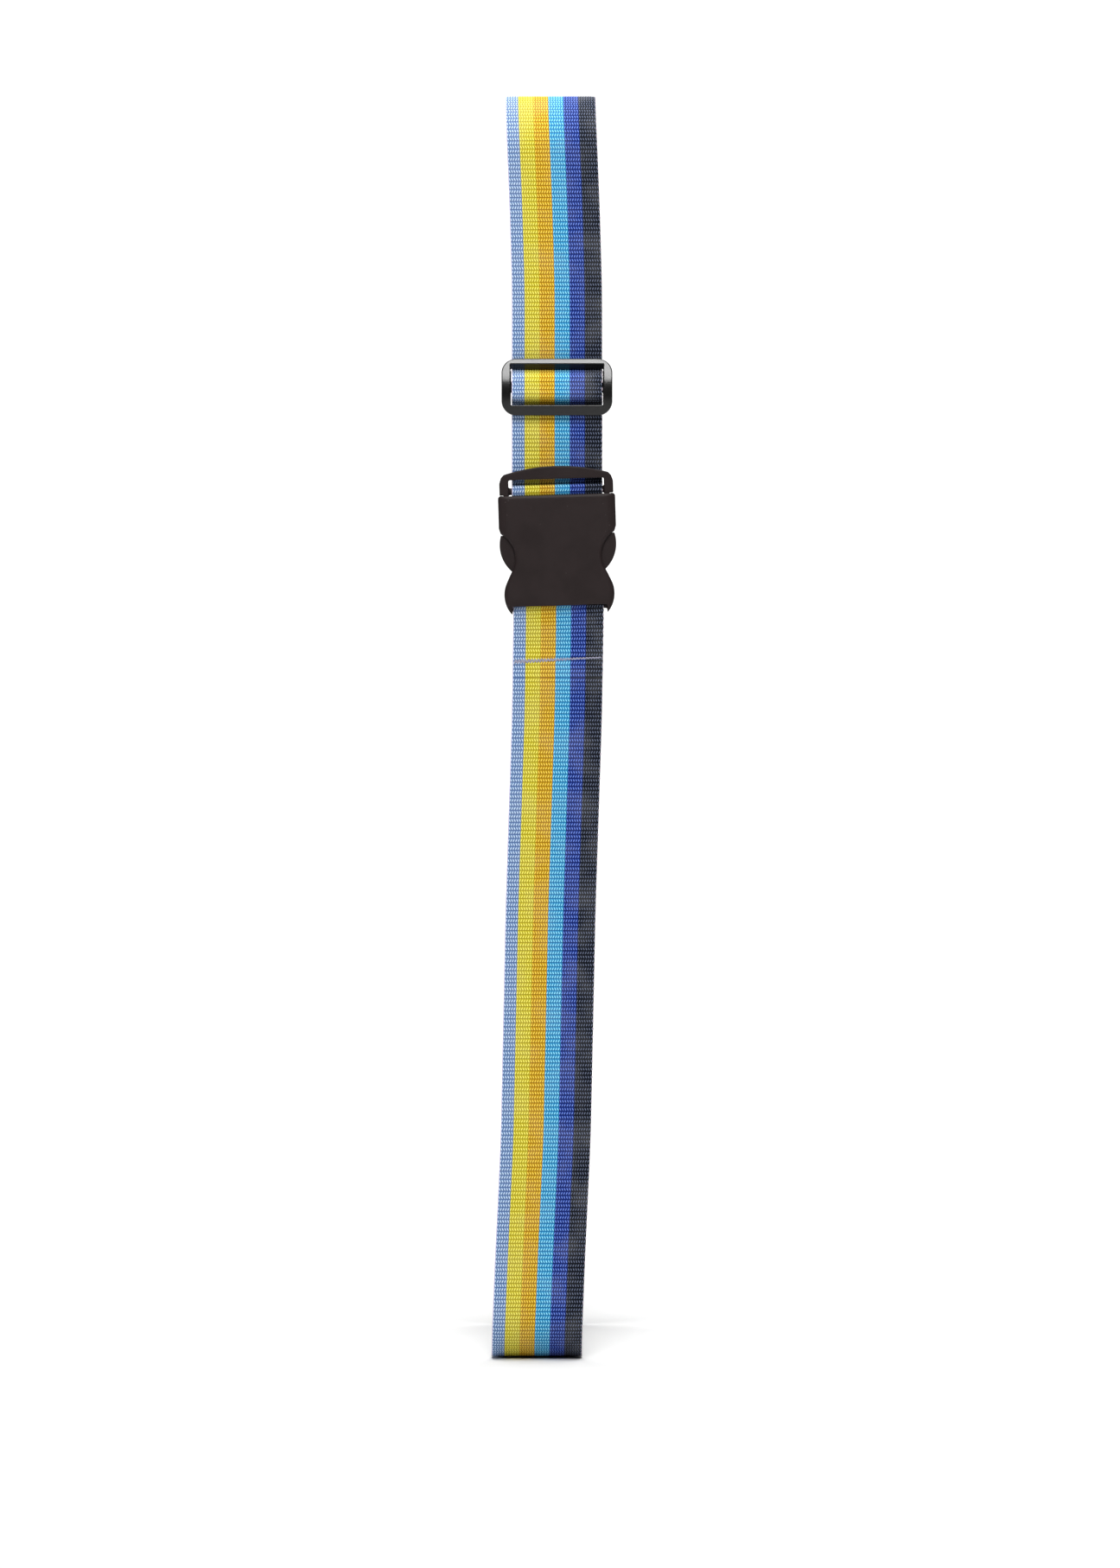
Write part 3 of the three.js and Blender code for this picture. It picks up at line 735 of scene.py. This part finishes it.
def area_light(name, place, aim, size, power):
    light = bpy.data.lights.new(name, "AREA")
    light.shape = "RECTANGLE"
    light.size, light.size_y = size
    light.energy = power
    lamp = bpy.data.objects.new(name, light)
    lamp.location = place
    lamp.rotation_euler = (Vector(aim) - Vector(place)).to_track_quat("-Z", "Y").to_euler()
    bpy.context.scene.collection.objects.link(lamp)


def studio_light():
    """A tall softbox above the front, lights overhead and to the left, a lit wall and a dim sky."""
    aim = Vector((0, -0.15, -0.3))
    height, reach = math.radians(46), 2.6
    key = aim + reach * Vector((0, -math.cos(height), math.sin(height)))
    area_light("softbox", key, aim, (0.45, 2.0), 62)
    area_light("top_light", (0, -0.2, 2.0), (0, -0.15, 0), (1.2, 0.5), 34)
    area_light("side_strip", (-2.6, -1.6, 0.2), aim, (0.8, 2.2), 3)
    area_light("wall_light", (0, 1.4, 2.4), (0, 4.4, -0.2), (4.0, 1.0), 190)
    world = bpy.data.worlds.new("sky")
    bpy.context.scene.world = world
    world.use_nodes = True
    world.node_tree.nodes["Background"].inputs["Color"].default_value = (1, 1, 1, 1)
    world.node_tree.nodes["Background"].inputs["Strength"].default_value = 0.15
    bpy.context.scene.view_settings.view_transform = "Standard"


# ======== the webbing, piece by piece ========
def loop_webbing(paint):
    """The parts of the loop that never move: the top, the back, the underside and the upper front."""
    near, far = -(CORNER - HALF_WEB), -LOOP_DEPTH + CORNER - HALF_WEB
    upper, lower = near, -LOOP_HEIGHT + CORNER - HALF_WEB
    back = -LOOP_DEPTH - HALF_WEB
    front_end = BUCKLE.z + PLUG_RUN_END
    top = [*quarter(far, upper, math.pi), (near, HALF_WEB)]
    front = [*quarter(near, upper, math.pi / 2), (layer(0), front_end)]
    under = [*quarter(near, lower, 0), *quarter(far, lower, -math.pi / 2)]
    top_nodes = ["webbing_top_run", "webbing_corner_top_back"]
    front_nodes = ["webbing_corner_top_front", "webbing_front_upper", "webbing_adjuster_back"]
    under_nodes = ["webbing_corner_bottom_front", "webbing_bottom_run", "webbing_corner_bottom_back"]
    runs = (
        ("top_webbing", top, top_nodes, True),
        ("front_webbing", front, front_nodes, True),
        ("under_webbing", under, under_nodes, False),
        ("back_webbing", [(back, lower), (back, upper)], ["webbing_back_run"], False),
    )
    for name, route, nodes, fine in runs:
        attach(webbing(name, route, nodes, paint, fine), "strap")


def buckle_webbing(paint):
    """The webbing's two turns in the buckle: round the plug's inner bar and the socket's anchor bar."""
    wrap_in = BAR_BACK - GAP - HALF_WEB
    wrap_out = BAR_FRONT + GAP + HALF_WEB
    bend = 1.2 + GAP + HALF_WEB
    bar_bottom, bar_top = (BUCKLE.z + height for height in INNER_BAR)
    start = BUCKLE.z + PLUG_RUN_END
    over, under = bar_top + GAP + HALF_WEB, bar_bottom - GAP - HALF_WEB
    plug_turn = rounded([
        (layer(1), start), (layer(1), over, 1), (wrap_out, over, bend), (wrap_out, under, bend),
        (wrap_in, under, bend), (wrap_in, bar_bottom + 1.6, 0.6), (layer(0), bar_top - 0.4, 0.9),
        (layer(0), start),
    ])
    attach(webbing("plug_turn", plug_turn, ["webbing_plug_turn"], paint), "strap")
    anchor_bottom, anchor_top = (BUCKLE.z + height for height in ANCHOR_BAR)
    wrap_top = anchor_top + GAP + HALF_WEB
    seam_z = BUCKLE.z - SOCKET_SEAM
    anchor_loop = rounded([
        (layer(0), BUCKLE.z - SOCKET_TAIL), (layer(0), seam_z + 12, 12),
        (wrap_in, anchor_bottom - 1, 6), (wrap_in, wrap_top, bend),
        (wrap_out, wrap_top, bend), (wrap_out, anchor_bottom, 6),
        (layer(1), seam_z + 7, 14), (layer(1), BUCKLE.z - SOCKET_TAIL - 2),
    ])
    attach(webbing("anchor_loop", anchor_loop[::-1], ["webbing_socket_loop"], paint), "socket")


def lower_webbing(paint):
    """The long run under the buckle: it comes down past the sewn end."""
    start = BUCKLE.z - SOCKET_TAIL - 2
    end = -LOOP_HEIGHT + CORNER - HALF_WEB
    route = rounded([
        (layer(1), start), (layer(1), start - 3, 20), (layer(0), start - 19, 20), (layer(0), end),
    ])
    piece = webbing("lower_webbing", route, ["webbing_front_lower"], paint)
    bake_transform(piece)


def slider_webbing(paint):
    """The running layer over the slider's centre bar, and the sewn end wrapped round that bar."""
    back = CENTRE_BAR_BACK - GAP - HALF_WEB
    front = CENTRE_BAR_FRONT + GAP + HALF_WEB
    reach = CENTRE_BAR_HALF + GAP + HALF_WEB
    bend = 1 + GAP + HALF_WEB
    edge = WINDOW_EDGE - 0.6
    crest, crest_reach = front + PITCH, reach + 1.2
    low = SLIDER_PASS_LOW
    hump = on_slider([
        (slider_lift(layer(1), edge), edge), (crest, crest_reach, bend + PITCH),
        (crest, -crest_reach, bend + PITCH), (slider_lift(layer(2), -edge), -edge, 2),
        (slider_lift(layer(2), low), low),
    ])
    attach(webbing("slider_hump", hump, ["webbing_slider_pass"], paint, wander=False), "slider")
    turn = -edge + 1.5 * PITCH
    start = -SLIDER_TAIL + 9
    sewn = on_slider([
        (slider_lift(layer(0.5), start), start), (slider_lift(layer(1), turn + 1), turn + 1, 2),
        (back, -0.5, 2), (back, reach, bend), (front, reach, bend), (front, -reach, bend),
        (slider_lift(layer(1), turn), turn, 2), (slider_lift(layer(1), -SLIDER_TAIL), -SLIDER_TAIL),
    ])
    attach(webbing("sewn_end", sewn[::-1], ["webbing_slider_end"], paint, wander=False), "slider")


def adjuster_webbing():
    """The running layer between slider and plug."""
    low = SLIDER_PASS_LOW
    top_depth, top = slider_point(slider_lift(layer(2), low), low)
    crest = layer(2) + 0.75
    tail = slider_point(0, -SLIDER_TAIL)[1]
    end = BUCKLE.z + PLUG_RUN_END
    paint = webbing_material("adjuster_polyester", top)
    route = rounded([
        (top_depth, top), (crest, SLIDER_Z - SLIDER_SEAM + 2, 8), (crest, tail + 1, 4),
        (layer(1), tail - 9, 6), (layer(1), end),
    ])
    piece = webbing("adjuster_webbing", route, ["webbing_adjuster_front"], paint)
    ends = ((0, CASE_FRONT * MM, end * MM), (0, CASE_FRONT * MM, tail * MM))
    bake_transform(piece)


def seam(name, node, body, z, tilt, heights, thread):
    """A line of stitches on the outer of two layers, with its left and right heights."""
    depth = layer(1) + HALF_WEB
    sizes = {
        "Stitches": STITCHES, "Reach": WIDTH / 2 - 1, "Left height": heights[0], "Right height": heights[1],
        "Tilt": tilt, "Thread": THREAD, "Material": thread,
    }
    piece = grow(SEAM, name, [(0, 0, 0), (1, 0, 0)], sizes)

    def on_webbing(points):
        return wandered(points + np.array((0, CASE_FRONT - depth, z)))

    change_points(piece, on_webbing)
    close_up(piece)
    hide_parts(node)
    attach(piece, body)


# ======== making it ========
camera()
stage()
studio_light()

RIBBON = ribbon_tree()
SEAM = seam_tree()
polyester = webbing_material("striped_polyester")
loop_webbing(polyester)
buckle_webbing(polyester)
lower_webbing(polyester)
slider_webbing(polyester)
adjuster_webbing()

thread = thread_material("lilac_thread")
anchor_z = BUCKLE.z - SOCKET_SEAM
slider_z = SLIDER_Z - SLIDER_SEAM
seam("anchor_seam", "seam_thread_socket", "socket", anchor_z, SEAM_TILT, ANCHOR_ZIGZAG, thread)
seam("slider_seam", "seam_thread_slider", "slider", slider_z, 0, SLIDER_ZIGZAG, thread)

buckle_nylon = plastic_material("buckle_nylon", (31, 22, 22), 0.44, 0.2, 0.16, 0.4)
slider_nylon = plastic_material("slider_nylon", (12, 12, 12), 0.13, 0.4, 0.24, 0.1)

# Each moulding: its CAD node and body, voxel size, smoothing steps, and the change to its shape.
BUCKLE_MOULDINGS = (
    ("socket_shell", "buckle_socket", "socket", 0.42, 5, crowned_socket),
    ("plug_body", "buckle_plug", "strap", 0.36, 5, None),
    ("left_prong", "prong_left", "prong_left", 0.25, 6, None),
    ("right_prong", "prong_right", "prong_right", 0.25, 6, None),
)
for name, node, body, voxel, softening, shape in BUCKLE_MOULDINGS:
    piece = moulded(name, node, voxel, softening, shape)
    finish_plastic(piece, body, buckle_nylon)
piece = moulded("slider_moulding", "slider_frame", 0.27, 6, drafted_slider)
finish_plastic(piece, "slider", slider_nylon)
